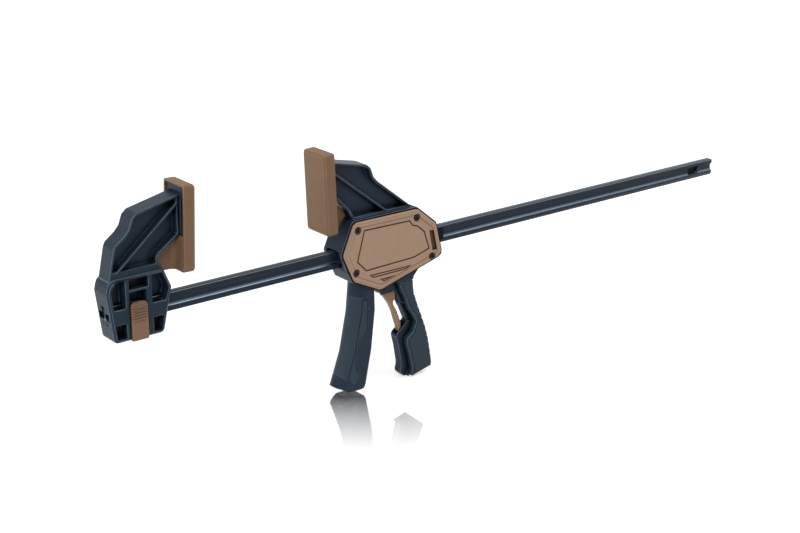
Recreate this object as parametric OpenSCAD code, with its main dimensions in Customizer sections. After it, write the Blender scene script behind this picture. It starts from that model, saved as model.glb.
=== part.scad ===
// One-handed bar clamp: a fixed jaw on the end of a steel I-section bar, and a sliding head
// with a squeeze lever, a jamming plate drive, a one-way brake and a release trigger.
// X runs along the bar towards its free end, Y away from the cover side, Z up.
// The origin is on the bar's centreline, under the foot of the fixed pad's clamping face.

/* [Bar] */
// Height of the bar
bar_h = 20; // [18:0.5:22]
// Width of the bar's flanges
bar_w = 7; // [6:0.5:8]
// Length of the bar
bar_l = 858; // [600:1:1000]
// Distance the bar reaches behind the fixed clamping face
bar_back = 92; // [88:0.5:94]
// Thickness of each flange
flange_t = 5.2; // [4:0.1:6]
// Thickness of the web between the flanges
web_t = 2.2; // [1.5:0.1:3]
// Length of the locking hole through the web near each end
lock_hole_l = 13; // [10:0.5:14]
// Distance from the fixed end to the middle of its locking hole
lock_hole_in = 29.3; // [28:0.1:31]
// Distance from the free end to the middle of its locking hole
far_hole_in = 35; // [30:1:60]
// Distance from the free end to the stop pin
stop_in = 24; // [15:0.5:25]
// Radius of the stop pin's heads
stop_r = 3.1; // [2.6:0.1:3.1]

/* [Pads] */
// Width of a pad
pad_w = 38.5; // [34:0.5:44]
// Height of a pad
pad_h = 88; // [84:0.5:92]
// Thickness of a pad
pad_t = 13.8; // [12:0.1:16]
// Height of the fixed pad's foot above the bar's centreline
fixed_pad_z = 31; // [30:0.2:32]
// Height of the moving pad's foot above the bar's centreline
moving_pad_z = 32.8; // [32:0.2:34]
// Lean of each pad towards the other
toe_in = 2.4; // [0:0.1:3]
// Wall of the cup behind the pad
cup_wall = 2.6; // [2:0.1:4]
// Depth of the cup behind the pad
cup_d = 6; // [5:0.1:7]
// Chamfer round the clamping face
pad_chamfer = 2.4; // [1:0.1:3]
// Height of the cup's foot above the pad's foot
cup_foot = 36.5; // [34:0.5:36.5]
// Thickness of the heel behind the pad
heel_t = 4.6; // [3:0.2:7]
// Radius that blends the heel into the pad
heel_r = 7; // [2:0.5:8]

/* [Jaws] */
// Opening between the feet of the two pads at rest
jaw_open = 158; // [20:1:560]
// Width of both jaw arms
arm_w = 21; // [18:0.5:26]
// Thickness of the web in the middle of a jaw arm
arm_web = 3.5; // [2.5:0.1:6]
// Thickness of the rim round a jaw arm
arm_rim = 2.6; // [2.5:0.1:5]
// Thickness of the diagonal rib in a jaw arm
arm_rib = 2.6; // [2:0.1:6]
// Thickness of the plate at the end of a jaw arm
end_plate_t = 4.2; // [3:0.1:5]
// Width of the fixed jaw's block
block_w = 28; // [26:0.5:34]
// Wall of the fixed jaw's block beside the bar
block_wall = 2.6; // [2:0.1:3.5]

/* [Jaw button] */
// Width of the button along the bar
button_w = 18; // [14:0.5:18.4]
// Height of the button's top above the bar's centreline
button_top = 12.4; // [8:0.2:13]
// Thickness of the button's two plates
button_t = 3.4; // [2.5:0.1:4]
// Travel of the button
button_travel = 5; // [3:0.1:5]
// Wire of the button spring
button_wire = 0.9; // [0.5:0.1:1.2]

/* [Head] */
// Width of the housing
head_w = 32; // [31:0.5:36]
// Wall of the housing round the mechanism
head_wall = 4.2; // [3:0.1:4.6]
// Wall on the housing's closed side
back_wall = 3; // [2:0.1:3.4]
// Thickness of the cover
cover_t = 2.8; // [2:0.1:4]
// Distance from the housing's edge to the cover's edge
cover_in = 2; // [1:0.1:3]
// Radius of the cover screws' heads
screw_head_r = 3.1; // [2:0.1:3.4]
// Radius of the counterbores round the screws' heads
counterbore_r = 4.1; // [3.6:0.1:4.4]
// Radius of the cover screws' shanks
screw_r = 1.6; // [1:0.1:2]
// Length of the cover screws' shanks
screw_l = 16; // [8:0.5:18]
// Length of the rear guide's tongues outside the housing
tongue_l = 10; // [6:0.5:12]

/* [Grip and lever] */
// Width of the fixed grip's soft cover
grip_w = 26; // [25:0.5:30]
// Width of the grip's core inside the soft cover
core_w = 19; // [17:0.5:21]
// Width of the grip's web behind the trigger
web_w = 6.8; // [5:0.2:8]
// Number of ribs on the back of the grip
grip_ribs = 11; // [5:1:16]
// Width of the squeeze lever
lever_w = 24; // [22:0.5:24.4]
// Width of the channel in the back of the lever
channel_w = 17; // [15.4:0.1:18]
// Wall at the front of the lever
lever_front = 5; // [4:0.5:7]
// Thickness of the lever's soft cover
soft_t = 1.8; // [1:0.1:2.4]
// Travel of the lever in degrees
lever_travel = 16; // [6:0.5:16]
// Radius of the lever's pivot pin
lever_pin_r = 2.5; // [2:0.1:3]

/* [Trigger, drive and brake] */
// Width of the release trigger
trigger_w = 7; // [6:0.1:8]
// Radius of the trigger's pivot pin
trigger_pin_r = 1.5; // [1:0.1:1.8]
// Number of drive plates
drive_plates_n = 2; // [1:1:2]
// Thickness of a drive plate
drive_t = 2.5; // [2:0.1:2.6]
// Height of a drive plate
drive_h = 36; // [32:0.5:37]
// Width of the drive and brake plates
plate_w = 18; // [14:0.5:18.4]
// Thickness of the brake plate
brake_t = 3.5; // [3:0.1:3.8]
// Tilt of the brake plate at rest
brake_tilt = 1.5; // [1:0.1:2.6]
// Wire of the drive spring
drive_wire = 1.4; // [1:0.1:1.6]
// Wire of the brake spring
brake_wire = 0.9; // [0.5:0.1:1.2]

/* [Clearances] */
// Gap round the bar in the guides and in the fixed jaw
bar_fit = 0.15; // [0.05:0.05:0.2]
// Gap round the bar in the drive and brake plates
plate_fit = 0.12; // [0.12:0.02:0.3]
// Radial gap between a pin and the piece that turns on it
pin_fit = 0.05; // [0.02:0.01:0.1]
// Gap between pieces that move past each other
gap = 0.3; // [0.2:0.05:0.4]

/* [Hidden] */
$fn = 48;

plastic = [0.20, 0.25, 0.31];
soft = [0.17, 0.21, 0.26];
tan_plastic = [0.60, 0.47, 0.36];
dark_steel = [0.17, 0.21, 0.27];
bright_steel = [0.66, 0.67, 0.70];

// Bar
bar_x0 = -bar_back;
bar_x1 = bar_l - bar_back;
recess_h = bar_h - 2 * flange_t;
lock_x = bar_x0 + lock_hole_in;
far_hole_x = bar_x1 - far_hole_in;
stop_x = bar_x1 - stop_in;

// Jaw arms: outlines drawn behind a clamping face at x = 0, and the ends of the diagonal rib
arm_top = [[72, 79], [67, 84.6], [63, 95.2], [57.6, 99.6], [8, 110.4]];
fixed_arm = concat([[10, 70.4], [35, 53.2], [36.8, 50], [36.8, 45], [33.4, 39.7], [31, 34], [91.8, 34],
    [84.6, 67], [82.4, 71.3]], arm_top);
fixed_rib = [[79, 45.8], [12, 101.8]];
moving_arm = concat([[10, 71.3], [19, 67.8], [33.4, 53], [37.4, 46], [38.6, 42.6], [38.6, 40], [119.2, 40],
    [119.2, 41.8]], arm_top);
moving_rib = [[81, 45.8], [12, 100]];
arm_foot = 45;
end_plate_x = pad_t - cup_d + gap;

// Fixed jaw block
block_pts = [[-92.6, 38.6], [-96, 25], [-89.6, -26.4], [-34.8, -26.4], [-28.4, 6], [-24.3, 19], [-32.6, 39]];
block_r = [9, 7, 5, 5, 6, 4, 3];
block_edge = 2.2;
button_slot = button_w + 2 * gap;
button_foot = -bar_h / 2 - 16.8;
bridge_t = 4.2;
web_foot = button_foot + bridge_t + gap;
button_y = -block_w / 2 - 2;
far_plate_y = bar_w / 2 + 2.5;
tongue_tip = web_t / 2 + 1.7 - button_travel;
spring_z = -bar_h / 2 - 6;

// Sliding head, drawn from the moving clamping face at x = 0
head_pts = [[18.5, 7.3], [33.3, -25.3], [69.5, -42.8], [157.2, -19], [148, 20.5], [121, 42.8], [33.8, 43.2]];
head_r = [4, 6, 6, 5, 6, 6, 6];
screw_at = [[39.6, 32.4], [118.9, 31.4], [140.4, -17], [37.2, -14.4]];
face_y = -head_w / 2;
boss_r = screw_r + 3.2;
guide_x = 27.2;
guide_t = 4.2;
lever_at = [52, 27];
trigger_at = [98, -18.2];
brake_at = [105.8, 19.5];
seat_x = 96;
drive_x = 62.4;
drive_pitch = drive_t + gap;
drive_end = drive_x + drive_plates_n * drive_pitch;
brake_spring_z = -bar_h / 2 - 7.4;
brake_seat_x = 121;

// Lever: front and back edges from the top down, as [height, front, back]
lever_rows = [[-24, 42, 66.4], [-64, 38.3, 67.6], [-109, 29, 62.4], [-160, 11, 51.8]];
lever_foot = -153;
lever_nose_r = lever_w / 2;
lever_back_r = 3;
soft_line = [[10, -43.2], [38, -45.2], [54.8, -49.4], [57, -52.8], [56, -84.9], [53.2, -90], [47.8, -93.3],
    [45, -99.6], [40.6, -121], [40.6, -125.4], [44.6, -132.4], [44.5, -138.3], [41.7, -144.8], [36.3, -147],
    [31, -140.5], [17.7, -128.8], [2, -116]];
push_z = 14;

// Grip: front edges of the cheeks beside the trigger, of the web and of the chin below it, front edge
// of the soft cover and the back edge, from the top down
cheek_front = [[97.2, -47], [99.4, -53], [103, -60.4], [105.6, -66], [112, -70]];
web_front = [[98.8, -53], [102.2, -60.4], [108.7, -74.5], [113.6, -85.9], [116.2, -91.5]];
chin_front = [[116.6, -90.8], [101.8, -103], [100.6, -107], [103.8, -119.4], [107.2, -139], [107.2, -143],
    [105.8, -148.8], [106.6, -151.6], [111.6, -156.2]];
rim_front = [[98.5, -41.5], [102.6, -50.6], [106.8, -58.5], [113.8, -75.4], [121, -86.5], [123, -92],
    [118.1, -102.5], [110.3, -109], [109.6, -114], [113.9, -129], [117.6, -145], [116, -155.3]];
grip_back = [[143.8, -148.8], [144.8, -145.3], [142.6, -130.2], [139.5, -113.7], [135.1, -98.3],
    [127.9, -79.9], [123.6, -68.3], [119.3, -55.6], [118, -44.7], [118.8, -41.5]];

core_depth = 3.2;
rim_w = 2.6;
core_back = [for (p = grip_back) if (p[1] < -44) p - [core_depth, p[1] < -140 ? -1.5 : 0]];
core_front = [for (p = rim_front) if (p[1] > -150) p + [core_depth, 0]];
grip_core = concat([[100, -30]], core_front, [[114, -156.2]], core_back, [[122, -30]]);
chin_w = trigger_w + 4;

function unit(v) = v / norm(v);
function at(pts, i) = pts[(i + len(pts)) % len(pts)];

// Points of an arc of radius r that rounds the corner b between a and c
function corner(a, b, c, r, n) =
    let (u = unit(a - b), v = unit(c - b), half = acos(u * v) / 2)
    let (m = b + unit(u + v) * r / sin(half), s = b + u * r / tan(half) - m, e = b + v * r / tan(half) - m)
    let (a0 = atan2(s[1], s[0]), turn = atan2(e[1], e[0]) - a0)
    let (sweep = turn > 180 ? turn - 360 : turn < -180 ? turn + 360 : turn)
    r <= 0 ? [b] : [for (i = [0:n]) m + r * [cos(a0 + sweep * i / n), sin(a0 + sweep * i / n)]];

// Outline with every corner rounded by its own radius
function rounded(pts, r, n = 4) =
    [for (i = [0:len(pts) - 1])
        each corner(at(pts, i - 1), pts[i], at(pts, i + 1), is_list(r) ? r[i] : r, n)];

// Outline, wound anticlockwise, moved inwards by d
function inset(pts, d) =
    [for (i = [0:len(pts) - 1])
        let (u = unit(pts[i] - at(pts, i - 1)), v = unit(at(pts, i + 1) - pts[i]))
        let (p = [-u[1], u[0]], q = [-v[1], v[0]])
        pts[i] + d * (p + q) / (1 + p * q)];

// Front edge of the lever at a height
function lever_front_x(z) = lookup(-z, [for (row = lever_rows) [-row[0], row[1]]]);

// Extrudes an X-Z outline from y0 to y1
module side(y0, y1) {
    translate([0, y1, 0]) rotate([90, 0, 0]) linear_extrude(y1 - y0) children();
}

// Extrudes a Y-Z outline from x0 to x1
module along(x0, x1) {
    translate([x0, 0, 0]) rotate([90, 0, 90]) linear_extrude(x1 - x0) children();
}

module block(x0, x1, y0, y1, z0, z1) {
    translate([x0, y0, z0]) cube([x1 - x0, y1 - y0, z1 - z0]);
}

// A round bar along Y
module pin_y(x, z, r, y0, y1) {
    translate([x, y1, z]) rotate([90, 0, 0]) cylinder(r = r, h = y1 - y0);
}

module both_sides() {
    children();
    mirror([0, 1, 0]) children();
}

// Places a piece drawn from the moving clamping face
module head() {
    translate([jaw_open, 0, 0]) children();
}

// Coil spring along X from x = 0
module coil(r, wire, turns, length) {
    sides = 8;
    steps = 16 * turns;
    pitch = length - wire;
    pts = [for (i = [0:steps], j = [0:sides - 1])
        let (a = 360 * turns * i / steps, b = 360 * j / sides, d = r + wire / 2 * cos(b))
        [wire / 2 + pitch * i / steps + wire / 2 * sin(b), d * cos(a), d * sin(a)]];
    walls = [for (i = [0:steps - 1], j = [0:sides - 1])
        let (p = i * sides, k = (j + 1) % sides)
        [p + j, p + k, p + sides + k, p + sides + j]];
    ends = [[for (j = [sides - 1:-1:0]) j], [for (j = [0:sides - 1]) steps * sides + j]];
    polyhedron(pts, concat(walls, ends));
}

// Section of the bar, grown by a clearance, with or without the recesses
module bar_section(fit = 0) {
    w = bar_w + 2 * fit;
    h = bar_h + 2 * fit;
    slot = (bar_w - web_t) / 2 - fit;
    low = recess_h / 2 - fit;
    cove = min(1.6, slot * 0.8);
    difference() {
        polygon(rounded([[-w / 2, -h / 2], [w / 2, -h / 2], [w / 2, h / 2], [-w / 2, h / 2]], 0.8));
        for (m = [0, 1]) mirror([m, 0])
            polygon(concat(
                rounded([[w / 2 + 1, -low], [w / 2 - slot, -low], [w / 2 - slot, low], [w / 2 + 1, low]],
                    [0, cove, cove, 0])));
    }
}

module bar() {
    color(dark_steel) difference() {
        along(bar_x0, bar_x1) bar_section();
        for (x = [lock_x, far_hole_x])
            side(-bar_w, bar_w) translate([x, 0])
                polygon(rounded([[-lock_hole_l / 2, -recess_h / 2], [lock_hole_l / 2, -recess_h / 2],
                    [lock_hole_l / 2, recess_h / 2], [-lock_hole_l / 2, recess_h / 2]], 0.8));
        pin_y(stop_x, 0, stop_r - 1.2, -bar_w, bar_w);
        for (m = [0, 1]) mirror([0, 0, m])
            side(-bar_w, bar_w) polygon([[bar_x1 - 1.6, bar_h / 2], [bar_x1, bar_h / 2 - 1.6],
                [bar_x1 + 1, bar_h / 2 - 1.6], [bar_x1 + 1, bar_h / 2 + 1], [bar_x1 - 1.6, bar_h / 2 + 1]]);
        translate([bar_x1 + 1.2, 0, 0]) rotate([90, 0, 0]) cylinder(r = 2.2, h = 2 * bar_w, center = true);
    }
}

module bar_stop_pin() {
    color(bright_steel) {
        pin_y(stop_x, 0, stop_r - 1.2, -bar_w / 2, bar_w / 2);
        both_sides() pin_y(stop_x, 0, stop_r, web_t / 2, bar_w / 2);
    }
}

// Cup behind the pad, grown by d
function cup_outline(d) =
    let (w = pad_w / 2 - cup_wall + d, foot = cup_foot - d, top = pad_h - cup_wall + d)
    [[-w, foot], [w, foot], [w, top], [-w, top]];

// Pad with its clamping face on x = 0, its foot at z = 0 and its back towards -x
module pad() {
    outline = [[-pad_w / 2, 0], [pad_w / 2, 0], [pad_w / 2, pad_h], [-pad_w / 2, pad_h]];
    difference() {
        hull() {
            along(-pad_t, -pad_chamfer) polygon(rounded(outline, 3));
            along(-pad_t, 0) polygon(rounded(inset(outline, pad_chamfer), 2));
        }
        along(-pad_t - 1, -pad_t + cup_d) polygon(rounded(cup_outline(0), 1.5));
    }
    // heel below the jaw's arm, blended into the pad
    intersection() {
        side(-pad_w / 2, pad_w / 2)
            polygon(rounded([[-pad_t + 1, 0.8], [-27, 0.8], [-32.5, 9.5], [-36, 10.4], [-36, 12.5],
                [-30, 22.5], [-pad_t + 1, cup_foot - 0.6]], [0, 2, 2, 0.8, 0.8, 2, 0]));
        linear_extrude(pad_h / 2)
            polygon(rounded([[-pad_t + 1, -pad_w / 2 + 4], [-pad_t, -pad_w / 2 + 4], [-pad_t, -heel_t / 2],
                [-38, -heel_t / 2], [-38, heel_t / 2], [-pad_t, heel_t / 2], [-pad_t, pad_w / 2 - 4],
                [-pad_t + 1, pad_w / 2 - 4]], [0, 0, heel_r, 1, 1, heel_r, 0, 0]));
    }
}

// End plate of a jaw arm, in the pad's own place
module end_plate() {
    along(-end_plate_x - end_plate_t, -end_plate_x) polygon(rounded(cup_outline(-gap), 1.2));
}

// Jaw arm behind a clamping face at x = 0, growing towards +x; the floor of its pockets is the web
module arm(outline, rib) {
    strip = unit(rib[1] - rib[0]);
    across = [-strip[1], strip[0]] * arm_rib / 2;
    difference() {
        side(-arm_w / 2, arm_w / 2) polygon(rounded(outline, 2, 3));
        both_sides() side(arm_web / 2, arm_w) difference() {
            intersection() {
                polygon(rounded(inset(outline, arm_rim), 1.2, 3));
                translate([0, arm_foot]) square([200, 100]);
            }
            polygon([rib[0] - across - 20 * strip, rib[1] - across + 20 * strip,
                rib[1] + across + 20 * strip, rib[0] + across - 20 * strip]);
            translate([0, arm_foot]) square([end_plate_x + end_plate_t + 2, 100]);
        }
    }
}

module fixed_jaw() {
    slot0 = lock_x - button_slot / 2;
    slot1 = lock_x + button_slot / 2;
    color(plastic) difference() {
        union() {
            hull() {
                side(block_edge - block_w / 2, block_w / 2 - block_edge)
                    polygon(rounded(block_pts, block_r));
                side(-block_w / 2, block_w / 2) polygon(rounded(inset(block_pts, block_edge), block_r));
            }
            mirror([1, 0, 0]) arm(fixed_arm, fixed_rib);
            translate([0, 0, fixed_pad_z]) rotate([0, toe_in, 0]) end_plate();
        }
        along(bar_x0 - 20, -20) square([bar_w + 2 * bar_fit, bar_h + 2 * bar_fit], center = true);
        block(bar_x0 - 20, bar_x0 + 3, -9.5, 9.5, -3.6, 3.6);
        both_sides() {
            // open pockets round the bar
            side(arm_web / 2, block_w) {
                polygon(rounded([[-89, 8], [-76.2, 8], [-76.2, 36.4], [-85.5, 36.4], [-91.6, 27]], 1.2, 3));
                polygon(rounded([[slot0, 25.4], [-51, 25.4], [-51, 36.4], [slot0, 36.4]], 1, 3));
                polygon(rounded([[-47.4, 7.4], [-32.4, 7.4], [-28.6, 18], [-29.2, 22], [-35, 36.4],
                    [-47.4, 36.4]], 1.2, 3));
                polygon(rounded([[-86.4, -23], [-76.2, -23], [-76.2, -7.6], [-88.4, -7.6]], 1.2, 3));
                polygon(rounded([[-46.6, -23], [-37.6, -23], [-35, -7.6], [-46.6, -7.6]], 1.2, 3));
                translate([slot0, web_foot - 20]) square([button_slot, 20 + 23.4 - web_foot]);
            }
            // hollows between the wall and the bar
            side(bar_w / 2, block_w / 2 - block_wall) {
                translate([-88, -12]) square([11.8, 24]);
                translate([-46.6, -12]) square([12, 24]);
            }
        }
        block(slot0, slot1, -block_w, block_w, web_foot - 20, web_foot);
    }
    // stop behind the button's far plate
    color(plastic) block(lock_x - 3, lock_x + 3, 0, far_plate_y - gap, web_foot + 1, -bar_h / 2 - 1);
}

module fixed_jaw_pad() {
    color(tan_plastic) translate([0, 0, fixed_pad_z]) rotate([0, toe_in, 0]) pad();
}

module jaw_button() {
    w = button_w;
    color(tan_plastic) {
        // near plate, with finger ridges near its top
        difference() {
            translate([lock_x, 0, 0]) side(button_y, button_y + button_t)
                polygon(rounded([[-w / 2, button_foot], [w / 2, button_foot], [w / 2, button_top],
                    [-w / 2, button_top]], [2, 2, 4, 4]));
            for (i = [0:4]) block(lock_x - w / 2 + 3, lock_x + w / 2 - 3, button_y - 1, button_y + 0.5,
                -8 + i * 3.2, -7 + i * 3.2);
        }
        // bridge under the bar and far plate with the locking tongue
        far = far_plate_y + button_t;
        tongue = lock_hole_l / 2 - gap;
        rise = recess_h / 2 - gap;
        block(lock_x - w / 2, lock_x + w / 2, button_y + 1, far, button_foot, button_foot + bridge_t);
        block(lock_x - w / 2, lock_x + w / 2, far_plate_y, far, button_foot, 6);
        block(lock_x - tongue, lock_x + tongue, tongue_tip, far_plate_y + 1, -rise, rise);
    }
}

module button_spring() {
    color(bright_steel) translate([lock_x, button_y + button_t + gap / 2, spring_z]) rotate([0, 0, 90])
        coil(2.6, button_wire, 5, -arm_web / 2 - gap / 2 - (button_y + button_t + gap / 2));
}

// Outline of the housing and of everything that follows its edge
module head_outline(d) {
    polygon(rounded(inset(head_pts, d), [for (r = head_r) max(r - d, 1)]));
}

module jaw_housing() {
    inner = -face_y - back_wall;
    cheek = trigger_w / 2 + 0.4;
    nose = cheek + 2.4;
    clear = plate_w / 2 + 0.4;
    brake0 = brake_at[0] - brake_t / 2 - gap;
    brake1 = brake_at[0] + brake_t / 2 + gap;
    color(plastic) head() difference() {
        union() {
            difference() {
                union() {
                    side(face_y, -face_y) head_outline(0);
                    // root of the grip, as wide as its soft cover
                    side(-grip_w / 2, grip_w / 2)
                        polygon([[96.6, -30], [96.6, -41], [118.6, -41], [119.6, -37], [126, -30],
                            [122, -24]]);
                }
                // room for the mechanism
                difference() {
                    side(face_y - 1, inner) head_outline(head_wall);
                    for (p = screw_at) pin_y(p[0], p[1], boss_r, face_y - 2, head_w);
                    pin_y(lever_at[0], lever_at[1], lever_pin_r + 3, plate_w / 2 + gap, head_w);
                    // holder of the front guide, seat of the drive spring, fulcrum of the brake plate
                    // and seat of its spring
                    block(20, guide_x + guide_t + 2.4, face_y, head_w, -15, 15);
                    block(seat_x, seat_x + 3, face_y, head_w, -13.4, 60);
                    block(seat_x, brake0, face_y, head_w, brake_at[1] - 1.5, 60);
                    block(brake1, brake_at[0] + 8, face_y, head_w, brake_at[1] - 1.5, 60);
                    block(brake_seat_x, brake_seat_x + 3, face_y, head_w, -40, -bar_h / 2 - 2);
                }
                // way out for the lever
                block(34.6, 91, -lever_w / 2 - 0.6, lever_w / 2 + 0.6, -60, -20);
            }
            arm(moving_arm, moving_rib);
            translate([0, 0, moving_pad_z]) rotate([0, toe_in, 180]) end_plate();
            // core of the grip, with its web, the cheeks beside the trigger and the chin
            side(-core_w / 2, core_w / 2) polygon(grip_core);
            side(-web_w / 2, web_w / 2) polygon(concat(web_front, [[122, -91.5], [112, -53]]));
            side(-chin_w / 2, chin_w / 2) {
                polygon(concat([[97, -30]], cheek_front, [[112, -30]]));
                polygon(concat(chin_front, [[117, -156.2], [122, -150], [122, -90.8]]));
            }
            // hood over the trigger
            side(-nose, nose) polygon(rounded([[73.6, -31], [75.6, -46.5], [80.4, -52.6], [93.4, -52],
                [98.2, -50], [98.2, -40], [101, -30], [101, -13.6], [93, -13.6], [90, -31]],
                [1, 2, 2, 1, 0, 0, 0, 0, 3, 3], 3));
        }
        // passage for the bar, with its front pocket, the front guide's slot and the rear guide's socket
        along(0, 200) square([bar_w + 2, bar_h + 2 * bar_fit], center = true);
        along(0, guide_x) square([22, bar_h + 1], center = true);
        block(guide_x, guide_x + guide_t, face_y - 1, 10.8, -13, 13);
        along(140, 170) square([13.4, bar_h + 3], center = true);
        // slots for the trigger, through the hood and cheeks, and in the chin
        side(-cheek, cheek) {
            polygon([[95, -13], [102.5, -13], [104.4, -34], [105.2, -50], [106.2, -60], [106.2, -67],
                [96, -67], [78, -60], [79.5, -51]]);
            polygon([[96, -88.8], [116.4, -88.8], [116.4, -98], [114.8, -104.4], [96, -104.4]]);
        }
        // room for the brake plate
        block(brake_at[0] - 5, brake_at[0] + 2.4, -clear, clear, -37.4, brake_at[1] - 1.4);
        block(brake0, brake1, -clear, clear, 0, brake_at[1] + 2);
        // pilot holes and pin bores
        for (p = screw_at) pin_y(p[0], p[1], screw_r, face_y - 1, face_y + screw_l + 1);
        pin_y(lever_at[0], lever_at[1], lever_pin_r, 0, -face_y - 1);
        pin_y(trigger_at[0], trigger_at[1], trigger_pin_r, -nose - 1, nose + 1);
    }
}

// Closed groove that follows an outline
module groove(outline, w) {
    difference() {
        polygon(rounded(outline, w / 2, 2));
        polygon(rounded(inset(outline, w), w / 2, 2));
    }
}

module housing_cover() {
    y0 = face_y - cover_t;
    boss_foot = -plate_w / 2 - gap;
    color(tan_plastic) head() difference() {
        union() {
            hull() {
                side(face_y - 1, face_y) head_outline(cover_in);
                side(y0, face_y) head_outline(cover_in + 1.8);
            }
            // lip inside the housing and boss for the lever's pin
            difference() {
                side(face_y - 0.5, face_y + 1.8) head_outline(head_wall + 0.1);
                side(face_y - 1, face_y + 2) head_outline(head_wall + 1.7);
                for (p = screw_at) pin_y(p[0], p[1], boss_r + 0.2, face_y, face_y + 3);
                block(10, guide_x + guide_t + 3, face_y, face_y + 3, -16, 16);
                block(seat_x - 1, 115, face_y, face_y + 3, 10, 60);
                block(brake_seat_x - 1, brake_seat_x + 4, face_y, face_y + 3, -40, -10);
                block(30, 95, face_y, face_y + 3, -60, -19);
            }
            pin_y(lever_at[0], lever_at[1], lever_pin_r + 2.6, face_y - 1, boss_foot);
        }
        pin_y(lever_at[0], lever_at[1], lever_pin_r, face_y, boss_foot + 1);
        for (p = screw_at) {
            pin_y(p[0], p[1], counterbore_r, y0 - 1, y0 + 1.4);
            pin_y(p[0], p[1], screw_r + 0.2, y0 - 1, face_y + 1);
        }
        // border of the inner panel, darts below it and the slot beside it
        side(y0 - 1, y0 + 0.7) {
            groove([[38, -2.6], [50, -15.2], [115, -13.6], [137, -7.6], [130, 14], [120.6, 22.2],
                [113.6, 24.6], [109.2, 30.6], [47.6, 31.6]], 1.2);
            groove([[53.7, -20.3], [60, -24.6], [104, -24.4], [112, -20.9]], 1);
            groove([[68.4, -28], [74, -31.8], [91.5, -27.7]], 1);
        }
        side(y0 - 1, face_y + 1) polygon([[136.2, 13.6], [140.9, -10.4], [147, -10.2], [142.4, 12.6]]);
    }
}

module cover_screws() {
    y0 = face_y - cover_t;
    color(bright_steel) head() for (p = screw_at) difference() {
        union() {
            pin_y(p[0], p[1], screw_head_r, y0 + 0.1, y0 + 1.4);
            pin_y(p[0], p[1], screw_r, y0 + 1, y0 + 1.4 + screw_l);
        }
        translate([p[0], y0, p[1]]) for (a = [0, 90]) rotate([0, a, 0])
            cube([0.8, 1.6, 3.4], center = true);
    }
}

module moving_jaw_pad() {
    color(tan_plastic) head() translate([0, 0, moving_pad_z]) rotate([0, toe_in, 180]) pad();
}

module front_bar_guide() {
    color(dark_steel) head() difference() {
        block(guide_x, guide_x + guide_t, face_y, 10.8, -13, 13);
        along(20, 40) bar_section(bar_fit);
    }
}

module rear_bar_guide() {
    // inner face of the housing's end wall at the level of the bar
    lean = (head_pts[4][0] - head_pts[3][0]) / (head_pts[4][1] - head_pts[3][1]);
    wall_x = head_pts[3][0] - lean * head_pts[3][1] - head_wall * norm([1, lean]);
    color(dark_steel) head() difference() {
        union() {
            // flange that follows the sloping wall, body in the wall and tongues outside it
            side(-9, 9) polygon([for (p = [[0, -13], [0, 13], [-3, 13], [-3, -13]])
                [wall_x + lean * p[1] + p[0], p[1]]]);
            along(wall_x - 2, wall_x + 6.4) square([13, bar_h + 2.6], center = true);
            along(wall_x, wall_x + 8.6 + tongue_l) square([11, recess_h + 2.6], center = true);
        }
        along(140, 200) bar_section(bar_fit);
    }
}

module grip_cover() {
    outline = concat(rim_front, grip_back);
    rim_back = [for (i = [len(rim_front) - 1:-1:0]) rim_front[i] + [rim_w + 4, 0]];
    rib_step = 7.6;
    color(soft) head() difference() {
        side(-grip_w / 2, grip_w / 2) polygon(rounded(outline, 1, 2));
        // room for the core, its web and the chin
        side(-core_w / 2, core_w / 2)
            polygon(concat([[100, -30]], core_front, [[114, -156.2], [114, -165]], core_back, [[122, -30]]));
        side(-chin_w / 2, chin_w / 2)
            polygon(concat([[90, -30]], [for (p = core_front) p - [12, 0]], [[100, -165], [120, -165]],
                [for (i = [len(core_front) - 1:-1:0]) core_front[i] + [1, 0]], [[110, -30]]));
        // groove behind the rim on each side
        both_sides() side(grip_w / 2 - 0.6, grip_w) intersection() {
            groove(inset(outline, rim_w), 0.9);
            polygon(concat([for (p = rim_front) p - [5, 0]], rim_back));
        }
        // finger grooves down the back
        for (i = [0:grip_ribs - 1]) let (z = -58 - i * rib_step)
            pin_y(lookup(-z, [for (p = grip_back) [-p[1], p[0]]]) + 0.4, z, 1.2, -grip_w, grip_w, $fn = 16);
    }
}

// Lever with its rounded front, sunk by d under its surface
module lever_loft(d) {
    for (i = [0:len(lever_rows) - 2]) hull() for (row = [lever_rows[i], lever_rows[i + 1]])
        translate([0, 0, row[0]]) {
            translate([row[1] + lever_nose_r, 0, 0]) cylinder(r = lever_nose_r - d, h = 0.01, $fn = 32);
            for (y = [-1, 1]) translate([row[2] - lever_back_r, y * (lever_w / 2 - lever_back_r), 0])
                cylinder(r = lever_back_r - min(d, 0.2 * d + 1), h = 0.01, $fn = 16);
        }
}

// Outline that trims the lever's foot
module lever_trim() {
    polygon(rounded([[30, -20], [0, -100], [17.4, -146], [24, -148.4], [29.5, lever_foot], [50, lever_foot],
        [53.6, -148], [75, -100], [75, -20]], [0, 0, 2, 3, 2, 4, 3, 0, 0], 3));
}

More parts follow.
